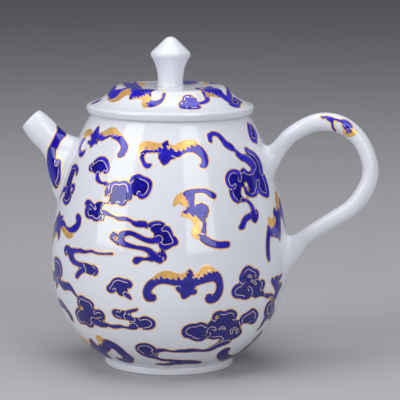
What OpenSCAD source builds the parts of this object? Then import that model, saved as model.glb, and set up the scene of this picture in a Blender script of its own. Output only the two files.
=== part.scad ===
// Porcelain teapot: thin-walled body on a turned foot ring, luted spout and
// loop handle, and a loose lid with a luted knob. The spout points to -X, the
// handle to +X, and the origin is the centre of the foot's resting face.

/* [Body] */
// Largest outside diameter of the body
body_d = 88; // [74:1:106]
// Height of the rim's flat seat above the table
rim_z = 94.3; // [78:0.1:114]
// Height of the widest point above the table
belly_z = 41; // [34:0.5:48]
// Outside diameter of the rim
rim_d = 58.2; // [54:0.2:66]
// Fullness of the curve below the widest point
low_fullness = 2.4; // [1.9:0.05:2.8]
// Fullness of the curve above the widest point
high_fullness = 1.75; // [1.5:0.05:2.2]
// Thickness of the body's wall
wall = 2.6; // [2:0.1:3.2]
// Thickness of the floor inside the foot ring
floor_t = 3.2; // [2.4:0.1:4.5]

/* [Foot] */
// Outside diameter of the foot ring
foot_d = 48.4; // [40:0.2:58]
// Height of the foot ring below the body's curve
foot_h = 2.7; // [2:0.1:4.5]
// Width of the ring's resting face
foot_w = 3.6; // [2.4:0.1:4.6]
// Depth of the turned recess inside the ring
foot_recess = 2.2; // [1:0.1:3]
// Depth of the groove between the ring and the body
groove = 0.3; // [0.2:0.1:1]

/* [Mouth] */
// Diameter of the mouth inside the rim
mouth_d = 51.6; // [46:0.2:53]
// Height of the straight throat below the seat
throat_h = 3.2; // [2:0.1:6]
// Rounding of the rim's outer and inner edges
rim_round = 0.6; // [0.2:0.1:1]

/* [Lid] */
// Largest diameter of the lid's brim
lid_d = 62.4; // [58.8:0.2:72]
// Height of the brim's widest point above the seat
brim_h = 2.3; // [1.6:0.1:3.5]
// Inward slant of the brim's edge down to the seat
brim_slant = 0.8; // [0:0.1:1.2]
// Height of the lid's flat top above the seat
lid_rise = 9.9; // [8.5:0.1:14]
// Diameter of the flat top, out to the start of its rounded shoulder
lid_top_d = 36.4; // [30:0.2:40]
// Thickness of the lid's dome
lid_t = 2.7; // [2:0.1:3.4]
// Depth of the locating flange below the seat
flange_h = 6.5; // [4:0.1:12]
// Thickness of the locating flange
flange_t = 2.4; // [1.8:0.1:3.2]
// Gap all round between the flange and the mouth
flange_gap = 0.45; // [0.3:0.05:1]
// Diameter of the steam hole behind the knob
vent_d = 2; // [1.6:0.1:3]

/* [Knob] */
// Height of the knob
knob_h = 18.1; // [14:0.1:24]
// Largest diameter of the knob
knob_d = 14.8; // [11.5:0.1:19]
// Diameter of the knob's stem where it is luted on
stem_d = 9.5; // [8:0.1:11]
// Height of the knob's widest point above the lid
knob_ridge_h = 11.7; // [9.5:0.1:12.5]

/* [Spout] */
// Drop from the seat to the middle of the spout's root
spout_drop = 22.8; // [20:0.1:28]
// Outside diameter of the spout's cut tip
spout_tip_d = 9.2; // [8:0.1:12]
// Outside diameter of the spout's neck
spout_neck_d = 11.1; // [10:0.1:14]
// Height of the flared root along the body
spout_root_h = 25.8; // [22:0.1:30]
// Width of the flared root round the body
spout_root_w = 21; // [19:0.1:25]
// Thickness of the spout's wall
spout_wall = 1.6; // [1.2:0.1:2.2]
// Diameter of one strainer hole
strainer_hole_d = 3; // [2:0.1:3.2]
// Distance from the middle hole to the six round it
strainer_pitch = 5.2; // [4.5:0.1:5.6]

/* [Handle] */
// Drop from the seat to the middle of the upper root
upper_root_drop = 16.5; // [14:0.1:22]
// Drop from the widest point to the middle of the lower root
lower_root_drop = 0.5; // [-3:0.1:4]
// Reach of the grip's centreline beyond the body
handle_reach = 34.6; // [28:0.1:42]
// Thickness of the grip, seen from the side
grip_t = 6.2; // [5:0.1:8]
// Width of the grip, seen from behind
grip_w = 6.8; // [5.5:0.1:9]

/* [Hidden] */

$fn = 96;
glaze = "ghostwhite";
ring_sides = 20;   // sides of one ring of a loft
ring_steps = 3;    // rings between two stations of a loft
over = 1;          // how far a cutting tool runs past what it cuts

lid_top_z = rim_z + lid_rise;
spout_z = rim_z - spout_drop;
upper_root_z = rim_z - upper_root_drop;
lower_root_z = belly_z - lower_root_drop;
floor_z = foot_recess + floor_t;

// ---- curves ----------------------------------------------------------------

function mix(a, b, t) = a + (b - a) * t;

// Points of a parabolic arc from a to b that leaves and arrives towards c.
function bend(a, c, b, n = 6) =
    [for (i = [0 : n]) let (t = i / n) mix(mix(a, c, t), mix(c, b, t), t)];

// A smooth curve through a list of stations, at a place s counted in stations.
function along(list, s) =
    let (
        last = len(list) - 1,
        i = min(floor(s), last - 1),
        t = s - i,
        p1 = list[i],
        p2 = list[i + 1],
        m1 = (p2 - list[max(i - 1, 0)]) / (i > 0 ? 2 : 1),
        m2 = (list[min(i + 2, last)] - p1) / (i < last - 1 ? 2 : 1)
    )
    p1 * (1 + 2 * t) * pow(1 - t, 2) + m1 * t * pow(1 - t, 2)
    + p2 * t * t * (3 - 2 * t) + m2 * t * t * (t - 1);

// Outside radius of the body at height z: two superellipse arcs that meet at
// the widest point and end at the groove and at the rim.
function body_r(z) =
    let (
        r = body_d / 2,
        below = z < belly_z,
        end_r = below ? foot_d / 2 - groove : rim_d / 2,
        span = below ? belly_z - foot_h : rim_z - belly_z,
        fullness = below ? low_fullness : high_fullness,
        drop = 1 - pow(end_r / r, 2)
    )
    r * sqrt(1 - drop * pow(abs(z - belly_z) / span, fullness));

// Outward slope of the body's outline at height z, as radius over height.
function body_slope(z) = (body_r(z + 0.01) - body_r(z - 0.01)) / 0.02;

function body_outline(z) = [body_r(z), z];

// The point one wall thickness inside the outline at height z.
function inner_outline(z) =
    let (s = body_slope(z))
    [body_r(z), z] + wall * [-1, s] / sqrt(1 + s * s);

// Heights that crowd towards the foot, where the outline turns fastest.
function low_heights(from_z, n) =
    [for (i = [0 : n]) belly_z - (belly_z - from_z) * cos(90 * i / n)];

function high_heights(to_z, n) =
    [for (i = [1 : n]) mix(belly_z, to_z, i / n)];

// ---- lofts -----------------------------------------------------------------

// A station is [x, z, direction, thickness, width]: the middle of an elliptical
// section in the XZ plane, the way the tube runs there in degrees from +X, and
// the section's size in the plane and across it.
function ring(station, thinner) =
    let (
        a = station[2],
        half_t = station[3] / 2 - thinner,
        half_w = station[4] / 2 - thinner
    )
    [for (k = [0 : ring_sides - 1])
        let (p = 360 * k / ring_sides)
        [
            station[0] - half_t * cos(p) * sin(a),
            half_w * sin(p),
            station[1] + half_t * cos(p) * cos(a)
        ]];

module loft(stations, thinner = 0) {
    count = (len(stations) - 1) * ring_steps;
    rings = [for (i = [0 : count]) ring(along(stations, i / ring_steps), thinner)];
    side = [for (i = [0 : count - 1], k = [0 : ring_sides - 1])
        let (
            next = (k + 1) % ring_sides,
            a = i * ring_sides,
            b = a + ring_sides
        )
        each [[a + k, a + next, b + k], [b + k, a + next, b + next]]];
    start = [for (k = [ring_sides - 1 : -1 : 0]) k];
    end = [for (k = [0 : ring_sides - 1]) count * ring_sides + k];
    polyhedron([for (r = rings) each r], concat(side, [start, end]));
}

// Root, flare, neck and tip of the spout, from inside the body outwards. Each
// row is [out from the wall, up from the root, rise angle, thickness, width].
spout_rows = [
    [-5.0, -1.6, 26, spout_root_h, spout_root_w],
    [-1.9, 0.5, 26, spout_root_h, spout_root_w],
    [0.7, 4.7, 37, spout_root_h * 0.75, mix(spout_neck_d, spout_root_w, 0.5)],
    [3.3, 8.6, 46, mix(spout_neck_d, spout_root_h, 0.15), mix(spout_neck_d, spout_root_w, 0.14)],
    [6.0, 11.2, 46, spout_neck_d, spout_neck_d],
    [8.8, 14.0, 45, spout_neck_d, spout_neck_d],
    [11.5, 16.8, 43, mix(spout_tip_d, spout_neck_d, 0.7), mix(spout_tip_d, spout_neck_d, 0.7)],
    [13.9, 19.3, 44, spout_tip_d, spout_tip_d]
];

spout_stations = [for (row = spout_rows)
    [-body_r(spout_z) - row[0], spout_z + row[1], 180 - row[2], row[3], row[4]]];

// The same run, carried past the tip so that the bore cuts it cleanly.
spout_end = spout_stations[len(spout_stations) - 1];
bore_stations = concat(spout_stations,
    [spout_end + [over * cos(spout_end[2]), over * sin(spout_end[2]), 0, 0, 0]]);

// The handle's centreline from the upper root round to the lower one. Each row
// is [way down from root to root, share of the reach beyond the body's line,
// direction, thickness, width].
root_t = grip_t + 5;
foot_t = grip_t + 13.3;
handle_rows = [
    [0.03, -0.1, 21, root_t, grip_w + 3],
    [0, -0.01, 24, root_t, grip_w + 3],
    [-0.09, 0.085, 47, grip_t + 0.4, grip_w],
    [-0.245, 0.235, 41, grip_t - 0.2, grip_w],
    [-0.357, 0.445, 22, grip_t + 0.2, grip_w],
    [-0.383, 0.625, 0, grip_t + 0.6, grip_w],
    [-0.338, 0.81, -32, grip_t + 0.2, grip_w],
    [-0.2, 0.975, -54, grip_t - 0.3, grip_w],
    [-0.005, 1.07, -76, grip_t - 0.3, grip_w],
    [0.142, 1.05, -95, grip_t, grip_w],
    [0.3, 0.96, -117, grip_t + 0.1, grip_w],
    [0.466, 0.79, -138, grip_t + 0.1, grip_w],
    [0.603, 0.545, -148, grip_t - 0.2, grip_w],
    [0.713, 0.34, -146, grip_t - 0.2, grip_w],
    [0.815, 0.18, -138, grip_t + 0.5, grip_w + 0.2],
    [0.92, 0.06, -174, grip_t + 5.9, grip_w + 2],
    [1, -0.045, -180, foot_t, grip_w + 4],
    [1, -0.12, -180, foot_t, grip_w + 4]
];

handle_stations = [for (row = handle_rows)
    let (
        down = min(max(row[0], 0), 1),
        wall_x = mix(body_r(upper_root_z), body_r(lower_root_z), down)
    )
    [
        wall_x + handle_reach * row[1],
        mix(upper_root_z, lower_root_z, row[0]),
        row[2], row[3], row[4]
    ]];

// ---- pieces ----------------------------------------------------------------

foot_points = [
    [foot_d / 2 - foot_w, 0],
    [foot_d / 2 - 0.4, 0],
    [foot_d / 2, 0.4],
    [foot_d / 2, foot_h - 0.4],
    [foot_d / 2 - groove, foot_h]
];

outside_points = concat(
    [for (z = low_heights(foot_h, 12)) if (z > foot_h) body_outline(z)],
    [for (z = high_heights(rim_z - rim_round, 12)) body_outline(z)],
    [[rim_d / 2 - rim_round, rim_z]]
);

// Everything inside the body's outer skin: what the spout and handle stop at.
module body_envelope() {
    rotate_extrude()
        polygon(concat([[0, foot_h]], [foot_points[4]], outside_points, [[0, rim_z]]));
}

// Hexagon of holes through the wall behind the spout, square to the wall.
module strainer_holes() {
    translate([-body_r(spout_z), 0, spout_z])
        rotate([0, -90 - atan(body_slope(spout_z)), 0])
            for (i = [0 : 6])
                rotate(60 * i)
                    translate([i == 0 ? 0 : strainer_pitch, 0, -wall - 2 * over])
                        cylinder(h = wall + 4 * over, d = strainer_hole_d, $fn = 32);
}

module pot_body() {
    throat_z = rim_z - throat_h;
    shoulder = inner_outline(mix(belly_z, rim_z, 0.82));
    heel = inner_outline(foot_h + 4);
    inside = concat(
        [[mouth_d / 2 + rim_round, rim_z], [mouth_d / 2, rim_z - rim_round]],
        bend([mouth_d / 2, throat_z], [mix(mouth_d / 2, shoulder[0], 0.3), throat_z - 2.6], shoulder),
        [for (i = [1 : 8]) inner_outline(mix(mix(belly_z, rim_z, 0.82), belly_z, i / 8))],
        [for (i = [1 : 8])
            inner_outline(belly_z - (belly_z - foot_h - 4) * sin(90 * i / 9))],
        bend(heel, [heel[0] - 4.5, floor_z], [heel[0] - 13, floor_z]),
        [[0, floor_z], [0, foot_recess]],
        [[foot_d / 2 - foot_w - 1, foot_recess]]
    );
    color(glaze)
        difference() {
            rotate_extrude() polygon(concat(foot_points, outside_points, inside));
            strainer_holes();
        }
}

module spout() {
    color(glaze)
        difference() {
            loft(spout_stations);
            loft(bore_stations, spout_wall);
            body_envelope();
        }
}

module handle() {
    color(glaze)
        difference() {
            loft(handle_stations);
            body_envelope();
        }
}

module lid() {
    brim_r = lid_d / 2;
    flange_r = mouth_d / 2 - flange_gap;
    hollow_r = flange_r - flange_t;
    top_r = lid_top_d / 2;
    under_z = lid_rise - lid_t;
    lip = [brim_r - 1, brim_h + 0.9];
    shoulder = [top_r + 3.1, lid_rise - 1];
    points = concat(
        [[flange_r, 0], [brim_r - brim_slant - 0.3, 0], [brim_r - brim_slant, 0.3]],
        bend([brim_r - 0.05, brim_h - 0.4], [brim_r, brim_h + 0.6], lip, 4),
        bend(lip, [mix(lip[0], shoulder[0], 0.67), brim_h + 2.7], shoulder, 8),
        bend(shoulder, [top_r + 2.2, lid_rise], [top_r, lid_rise], 4),
        [[0, lid_rise], [0, under_z]],
        bend([top_r - 2, under_z], [top_r + 2.3, under_z - 0.2], [hollow_r, 1.8]),
        [[hollow_r, 0.8 - flange_h], [hollow_r + 0.8, -flange_h]],
        [[flange_r - 0.8, -flange_h], [flange_r, 0.8 - flange_h]]
    );
    color(glaze)
        translate([0, 0, rim_z])
            difference() {
                rotate_extrude() polygon(points);
                translate([0, (stem_d / 2 + top_r) / 2, under_z - over])
                    cylinder(h = lid_t + 2 * over, d = vent_d, $fn = 32);
            }
}

module lid_knob() {
    stem_r = stem_d / 2;
    ridge_r = knob_d / 2;
    ridge_low = [ridge_r - 0.2, knob_ridge_h - 1.1];
    ridge_high = [ridge_r - 0.5, knob_ridge_h + 1.1];
    tip = [2.4, knob_h - 1.1];
    points = concat(
        [[0, 0]],
        bend([stem_r, 0], [stem_r - 0.35, knob_ridge_h * 0.57], ridge_low, 8),
        bend(ridge_low, [ridge_r + 0.35, knob_ridge_h], ridge_high, 5),
        bend(tip, [1.3, knob_h], [0, knob_h], 4)
    );
    color(glaze)
        translate([0, 0, lid_top_z])
            rotate_extrude() polygon(points);
}

pot_body();
spout();
handle();
lid();
lid_knob();
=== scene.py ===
import bpy
import numpy as np
from mathutils import Matrix


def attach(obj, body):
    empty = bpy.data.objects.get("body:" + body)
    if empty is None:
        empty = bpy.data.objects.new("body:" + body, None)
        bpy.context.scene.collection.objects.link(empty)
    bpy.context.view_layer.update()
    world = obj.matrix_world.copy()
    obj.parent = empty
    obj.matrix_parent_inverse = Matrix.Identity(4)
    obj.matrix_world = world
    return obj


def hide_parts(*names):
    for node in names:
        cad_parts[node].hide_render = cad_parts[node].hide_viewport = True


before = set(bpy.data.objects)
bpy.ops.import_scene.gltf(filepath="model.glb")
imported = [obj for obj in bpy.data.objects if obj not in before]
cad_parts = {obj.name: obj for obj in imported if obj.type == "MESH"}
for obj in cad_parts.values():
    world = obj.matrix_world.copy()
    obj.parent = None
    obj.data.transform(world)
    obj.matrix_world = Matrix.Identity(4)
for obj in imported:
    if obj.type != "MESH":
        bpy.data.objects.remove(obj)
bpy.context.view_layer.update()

# ---- body -------------------------------------------------------------------
# Thin egg of white porcelain, thrown, turned inside and out and standing on a
# low foot ring. It is one piece from the ring up to the flat seat of the mouth,
# and seven small holes behind the spout strain the leaves out of the tea.

# Sizes in mm. The fullness bends the arc below the belly and the one above it.
BODY_R, BELLY_Z, RIM_Z, WALL = 43.9, 41.0, 94.3, 2.6
FOOT_H, FOOT_R, SEAT_R, MOUTH_R = 2.7, 24.2, 29.1, 25.8
LOW_FULLNESS, HIGH_FULLNESS = 2.4, 1.75


def body_radius(z):
    """Outside radius at height z (mm): two superellipse arcs, radius = belly *
    sqrt(1 - drop * (distance from the belly / span) ** fullness)."""
    z = np.asarray(z, float)
    low = z < BELLY_Z
    end = np.where(low, FOOT_R - 0.3, SEAT_R)
    span = np.where(low, BELLY_Z - FOOT_H, RIM_Z - BELLY_Z)
    full = np.where(low, LOW_FULLNESS, HIGH_FULLNESS)
    away = np.clip(np.abs(z - BELLY_Z) / span, 0, 1.05) ** full
    return BODY_R * np.sqrt(1 - (1 - (end / BODY_R) ** 2) * away)


def bend(a, c, b, n=12):
    """Points of a parabolic arc from a to b that leaves and arrives towards c."""
    a, b, c = (np.array(p, float) for p in (a, b, c))
    t = np.linspace(0, 1, n + 1)[:, None]
    return a * (1 - t) ** 2 + 2 * c * t * (1 - t) + b * t ** 2


def make_mesh(name, points, faces, body, material, node=None, slot="glazed_porcelain", sharp=40):
    """A mesh from points in mm and an array (or list of arrays) of faces, shaded
    smooth except where two faces meet at more than the sharp angle."""
    faces = faces if isinstance(faces, list) else [faces]
    sizes = np.concatenate([np.full(len(f), f.shape[1]) for f in faces])
    starts = np.concatenate([[0], np.cumsum(sizes)[:-1]])
    corners = np.concatenate([f.ravel() for f in faces])
    mesh = bpy.data.meshes.new(name)
    mesh.vertices.add(len(points))
    mesh.vertices.foreach_set("co", (np.asarray(points) * 0.001).astype(np.float32).ravel())
    mesh.loops.add(len(corners))
    mesh.loops.foreach_set("vertex_index", corners.astype(np.int32))
    mesh.polygons.add(len(sizes))
    mesh.polygons.foreach_set("loop_start", starts.astype(np.int32))
    mesh.update(calc_edges=True)
    mesh.validate()
    mesh.shade_smooth()
    mesh.set_sharp_from_angle(angle=np.radians(sharp))
    mesh.materials.append(material)
    piece = bpy.data.objects.new(name, mesh)
    bpy.context.scene.collection.objects.link(piece)
    if body:
        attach(piece, body)
    if node:
        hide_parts(node)
    return piece


def grid_faces(rows, cols):
    """Quads of a grid whose columns close into a ring, each facing outwards when
    the rows go up and the columns go anticlockwise seen from above."""
    i, j = np.meshgrid(np.arange(rows - 1), np.arange(cols), indexing="ij")
    n = (j + 1) % cols
    corners = [i * cols + j, i * cols + n, (i + 1) * cols + n, (i + 1) * cols + j]
    return np.stack(corners, -1).reshape(-1, 4)


def turned(name, outline, cols, *rest, **more):
    """A lathe shape: the outline (radius, height) starts and ends on the axis and
    is turned about Z; its two ends become fans of triangles round one point."""
    outline = np.asarray(outline, float)
    t = np.arange(cols) * 2 * np.pi / cols
    r, z = outline[1:-1, 0:1], outline[1:-1, 1:2]
    ring = np.stack([r * np.sin(t), -r * np.cos(t), z + 0 * t], -1).reshape(-1, 3)
    k, n, last = np.arange(cols), (np.arange(cols) + 1) % cols, (len(outline) - 3) * cols
    poles = [[0, 0, outline[0, 1]], [0, 0, outline[-1, 1]]]
    first = np.stack([n, k, np.full(cols, len(ring))], -1)
    top = np.stack([last + k, last + n, np.full(cols, len(ring) + 1)], -1)
    return make_mesh(name, np.vstack([ring, poles]),
                     [grid_faces(len(outline) - 2, cols), first, top], *rest, **more)


def body_slope(z):
    """How much the outside radius grows for each mm of height."""
    return (body_radius(z + 0.01) - body_radius(z - 0.01)) / 0.02


def body_inside(z):
    """Points one wall thickness inside the outline, square to it, at height z."""
    z = np.asarray(z, float)
    slope = body_slope(z)
    steep = np.hypot(1, slope)
    return np.stack([body_radius(z) - WALL / steep, z + WALL * slope / steep], -1)


def feed(tree, node, links):
    """Gives a node's inputs, by number or name, other sockets or plain values."""
    for key, value in dict(links).items():
        if isinstance(value, bpy.types.NodeSocket):
            tree.links.new(value, node.inputs[key])
        else:
            node.inputs[key].default_value = value
    return node


def add(tree, kind, links=(), **settings):
    """A new node of that kind, with its settings and what feeds its inputs."""
    node = tree.nodes.new(kind)
    for key, value in settings.items():
        setattr(node, key, value)
    return feed(tree, node, links)


def here(tree):
    """The place on the piece, in metres."""
    return add(tree, "ShaderNodeTexCoord").outputs["Object"]


def height(tree, place):
    """The height of a place, in metres."""
    return add(tree, "ShaderNodeSeparateXYZ", {0: place}).outputs["Z"]


def noise(tree, place, scale, detail, roughness=0.5):
    """Cloudy noise from 0 to 1, scale to the metre."""
    return add(tree, "ShaderNodeTexNoise", {"Vector": place, "Scale": scale, "Detail": detail,
                                            "Roughness": roughness}).outputs[0]


def spread(tree, value, low, high, at_low=0.0, at_high=1.0):
    """The value carried from low..high to at_low..at_high and held at the ends."""
    return add(tree, "ShaderNodeMapRange",
               {0: value, 1: low, 2: high, 3: at_low, 4: at_high}).outputs[0]


def reckon(tree, operation, *values):
    """One step of arithmetic on sockets or plain values."""
    return add(tree, "ShaderNodeMath", dict(enumerate(values)), operation=operation).outputs[0]


def mixed(tree, share, first, second, blend="MIX"):
    """The first colour, with that share of the second mixed into it."""
    return add(tree, "ShaderNodeMix", {0: share, 6: first, 7: second},
               data_type="RGBA", blend_type=blend).outputs[2]


def new_material(name, values):
    """A new material, its node tree and its Principled shader, with those values
    on the shader's own sockets."""
    material = bpy.data.materials.new(name)
    material.use_nodes = True
    tree = material.node_tree
    return material, tree, feed(tree, tree.nodes["Principled BSDF"], values)


def glaze_group():
    """Fired glaze: an even ground with faint cool and warm clouding, a few iron
    specks and pinholes, and the soft ripple that a dipped glaze dries with."""
    group = bpy.data.node_groups.new("fired glaze", "ShaderNodeTree")
    for flow, kind, names in (("INPUT", "Color", ["Ground"]),
                              ("INPUT", "Float", ["Clouding", "Specks", "Gloss", "Ripple"]),
                              ("OUTPUT", "Color", ["Colour"]), ("OUTPUT", "Float", ["Roughness"]),
                              ("OUTPUT", "Vector", ["Normal"])):
        for name in names:
            group.interface.new_socket(name=name, in_out=flow, socket_type="NodeSocket" + kind)
    given = add(group, "NodeGroupInput").outputs
    place = here(group)
    tint = add(group, "ShaderNodeValToRGB", {0: noise(group, place, 38.0, 3.0)})
    cool, warm = tint.color_ramp.elements
    cool.position, cool.color = 0.3, (0.93, 0.95, 1.0, 1)
    warm.position, warm.color = 0.72, (1.0, 0.99, 0.97, 1)
    clouded = mixed(group, given["Clouding"], given["Ground"], tint.outputs[0], "MULTIPLY")
    cells = add(group, "ShaderNodeTexVoronoi", {"Vector": place, "Scale": 210.0}, feature="F1")
    chosen = reckon(group, "GREATER_THAN", cells.outputs["Color"], 0.93)
    dot = spread(group, cells.outputs["Distance"], 0.02, 0.075, 1.0, 0.0)
    speck = reckon(group, "MULTIPLY", reckon(group, "MULTIPLY", chosen, dot), given["Specks"])
    mottle = spread(group, noise(group, place, 160.0, 2.0), 0.3, 0.7, 0.0, 0.05)
    relief = reckon(group, "ADD", noise(group, place, 85.0, 2.0, 0.4),
                    reckon(group, "MULTIPLY", speck, -0.6))
    bump = add(group, "ShaderNodeBump",
               {"Strength": given["Ripple"], "Distance": 0.0004, "Height": relief})
    add(group, "NodeGroupOutput", {
        "Colour": mixed(group, speck, clouded, (0.2, 0.16, 0.13, 1)),
        "Roughness": reckon(group, "ADD", mottle, given["Gloss"]), "Normal": bump.outputs[0]})
    return group


GLAZE = glaze_group()


def glazed(tree, ground, clouding, specks, gloss, ripple):
    """The outputs of the fired-glaze group, placed in a material with its values."""
    return add(tree, "ShaderNodeGroup", {"Ground": ground, "Clouding": clouding, "Specks": specks,
                                         "Gloss": gloss, "Ripple": ripple}, node_tree=GLAZE).outputs


def porcelain(name, bare_below):
    """White glazed porcelain, with the bare biscuit of the foot's resting face
    below the given height in mm."""
    material, tree, shader = new_material(name, {"IOR": 1.52})
    glaze = glazed(tree, (0.825, 0.84, 0.895, 1), 0.75, 0.45, 0.06, 0.05)
    place = here(tree)
    bare = spread(tree, height(tree, place), (bare_below - 0.12) * 0.001,
                  (bare_below + 0.12) * 0.001, 1.0, 0.0)
    biscuit = mixed(tree, noise(tree, place, 4000.0, 4.0),
                    (0.62, 0.56, 0.49, 1), (0.74, 0.69, 0.62, 1))
    feed(tree, shader, {
        "Base Color": mixed(tree, bare, glaze["Colour"], biscuit),
        "Roughness": reckon(tree, "MULTIPLY_ADD", bare, 0.7, glaze["Roughness"]),
        "Normal": glaze["Normal"]})
    return material


white = porcelain("white porcelain", 0.35)

# From the middle of the underside: foot ring, outside wall, seat, mouth, inside.
low = BELLY_Z - (BELLY_Z - FOOT_H) * np.cos(np.linspace(0, np.pi / 2, 64))
high = np.linspace(BELLY_Z, RIM_Z - 0.75, 66)[1:]
shoulder = body_inside([BELLY_Z + 0.82 * (RIM_Z - BELLY_Z)])[0]
heel = body_inside([FOOT_H + 4])[0]
body_outline = np.vstack([
    [[0, 2.2], [6, 2.2], [12, 2.2], [17, 2.2]],
    bend((18.6, 2.2), (19.5, 2.1), (19.9, 1.4), 5), bend((20.3, 0.5), (20.5, 0), (20.9, 0), 4),
    [[22.3, 0]], bend((23.6, 0), (24.15, 0.05), (24.2, 0.6), 5),
    bend((24.2, 1.9), (24.2, 2.35), (23.95, 2.5), 4),
    np.stack([body_radius(low), low], -1), np.stack([body_radius(high), high], -1),
    bend((SEAT_R, RIM_Z - 0.55), (SEAT_R - 0.15, RIM_Z), (SEAT_R - 0.7, RIM_Z), 5),
    [[27.4, RIM_Z]],
    bend((MOUTH_R + 0.6, RIM_Z), (MOUTH_R, RIM_Z), (MOUTH_R, RIM_Z - 0.6), 6),
    [[MOUTH_R, RIM_Z - 1.9]],
    bend((MOUTH_R, RIM_Z - 3.2), (MOUTH_R + 0.3 * (shoulder[0] - MOUTH_R), RIM_Z - 5.8),
         shoulder, 14),
    body_inside(np.linspace(BELLY_Z + 0.8 * (RIM_Z - BELLY_Z), BELLY_Z, 44)),
    body_inside(BELLY_Z - (BELLY_Z - FOOT_H - 4) * np.sin(np.linspace(0.03, np.pi / 2, 36))),
    bend(heel, (heel[0] - 4.5, 5.4), (heel[0] - 13, 5.4), 14)[1:], [[5, 5.4], [0, 5.4]]])
pot = turned("porcelain_body", body_outline, 256, "pot", white, node="pot_body")


def drill(piece, centres, axis, across, radius, start, stop, sides):
    """Cuts a round hole through the piece at each centre, along the axis from
    start to stop (mm); across is square to the axis."""
    t = np.arange(sides)[:, None] * 2 * np.pi / sides
    rim = radius * (np.cos(t) * across + np.sin(t) * np.cross(axis, across))
    ends = np.stack([np.arange(sides)[::-1], np.arange(sides, 2 * sides)])
    shifts = 2 * sides * np.arange(len(centres))
    rings = [centre + at * axis + rim for centre in centres for at in (start, stop)]
    bit = make_mesh("drill", np.vstack(rings),
                    [np.vstack([grid_faces(2, sides) + shift for shift in shifts]),
                     np.vstack([ends + shift for shift in shifts])], None, white)
    cut = piece.modifiers.new("holes", "BOOLEAN")
    cut.operation, cut.solver, cut.object = "DIFFERENCE", "EXACT", bit
    bpy.context.view_layer.update()
    graph = bpy.context.evaluated_depsgraph_get()
    piece.data = bpy.data.meshes.new_from_object(piece.evaluated_get(graph))
    piece.modifiers.clear()
    bpy.data.objects.remove(bit)


# One strainer hole and six round it, square to the wall where the spout leaves it.
SPOUT_Z, HOLE_R, HOLE_RING = 71.5, 1.5, 5.2
lean = np.array([-1, 0, -body_slope(SPOUT_Z)]) / np.hypot(1, body_slope(SPOUT_Z))
across, upward = np.array([0, 1.0, 0]), np.cross(lean, [0, 1.0, 0])
middle = np.array([-body_radius(SPOUT_Z), 0, SPOUT_Z])
holes = [middle + HOLE_RING * (np.cos(a) * across + np.sin(a) * upward)
         for a in np.radians(30 + 60 * np.arange(6))]
drill(pot, [middle] + holes, lean, across, HOLE_R, -4.6, 2, 40)

# ---- spout ------------------------------------------------------------------
# Short rising spout, cast hollow with a wall 1.6 mm thick, flared at its root
# and luted over the strainer with slip; the glaze fills the joint softly. Its
# tip is cut square to the bore and the lip is rounded.


def along(stations, s):
    """A smooth curve through a list of stations: between two of them a cubic
    whose slope at each is half the step between that station's neighbours."""
    p = np.asarray(stations, float)
    m = np.gradient(p, axis=0)
    s = np.asarray(s, float)
    i = np.clip(s.astype(int), 0, len(p) - 2)
    t = (s - i)[..., None]
    return (p[i] * (1 + 2 * t) * (1 - t) ** 2 + m[i] * t * (1 - t) ** 2
            + p[i + 1] * t ** 2 * (3 - 2 * t) + m[i + 1] * t ** 2 * (t - 1))


def tube(stations, s, thinner, angle):
    """Points of a bent tube: at the place s of the path, an ellipse square to it
    with the station's thickness and width, each made thinner all round."""
    x, z, way, thick, wide = np.moveaxis(along(stations, s), -1, 0)
    way = np.radians(way)
    u = (thick / 2 - thinner) * np.cos(angle)
    v = (wide / 2 - thinner) * np.sin(angle)
    return np.stack([x - u * np.sin(way), -v, z + u * np.cos(way)], -1)


def skin_depth(points):
    """How far points stand out of the body's outer skin, level with the table."""
    return np.hypot(points[..., 0], points[..., 1]) - body_radius(points[..., 2])


def place_at_depth(stations, depth, thinner, angle, s):
    """For each column of a tube, the place nearest to the last of s at which the
    tube's surface lies at that depth from the body's skin."""
    out = skin_depth(tube(stations, s[:, None], thinner, angle[None, :])) - depth
    last = len(s) - 1 - np.argmax((out < 0)[::-1], axis=0)
    j, k = np.arange(len(angle)), np.minimum(last + 1, len(s) - 1)
    a, b = out[last, j], out[k, j]
    return s[last] + (s[k] - s[last]) * a / (a - b + 1e-12)


def fillet(depth, radius):
    """Extra thickness that turns a wall into the skin along a quarter circle."""
    d = np.clip(depth, 0, radius)
    return radius - np.sqrt(radius ** 2 - (radius - d) ** 2)


# The slip swells a joint over the last SWELL mm; a root starts SUNK mm inside the
# body's skin, and the bore BORE_SUNK mm inside it.
SPOUT_WALL, SPOUT_SWELL, SUNK, BORE_SUNK = 1.6, 1.5, 1.3, 0.35
# Each row: how far out and up from the wall, lean of the path, thickness, width.
spout_rows = np.array([
    [-5.0, -1.6, 26, 25.8, 21], [-1.9, 0.5, 26, 25.8, 21], [0.7, 4.7, 37, 19.35, 16.05],
    [3.3, 8.6, 46, 13.305, 12.486], [6.0, 11.2, 46, 11.1, 11.1], [8.8, 14.0, 45, 11.1, 11.1],
    [11.5, 16.8, 43, 10.53, 10.53], [13.9, 19.3, 44, 9.2, 9.2]])
spout_path = np.column_stack([
    -body_radius(SPOUT_Z) - spout_rows[:, 0], SPOUT_Z + spout_rows[:, 1],
    180 - spout_rows[:, 2], spout_rows[:, 3:]])
tip, cols = len(spout_path) - 1, 96
k, n = np.arange(cols), (np.arange(cols) + 1) % cols
angle = k * 2 * np.pi / cols
fine = np.linspace(0.2, tip, 400)
start = place_at_depth(spout_path, -SUNK, 0, angle, fine)
bore_start = place_at_depth(spout_path, -BORE_SUNK, SPOUT_WALL, angle, fine)
lip = SPOUT_WALL / 2 / np.hypot(*(spout_path[-1] - spout_path[-2])[:2])
u = np.linspace(0, 1, 56)[:, None] ** 1.5
s_out = start + (tip - lip - start) * u
swell = fillet(skin_depth(tube(spout_path, s_out, 0, angle)), SPOUT_SWELL)
arc = np.linspace(0, np.pi, 12)[1:-1, None] + 0 * angle
s_lip = tip - lip * (1 - np.sin(arc))
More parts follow.
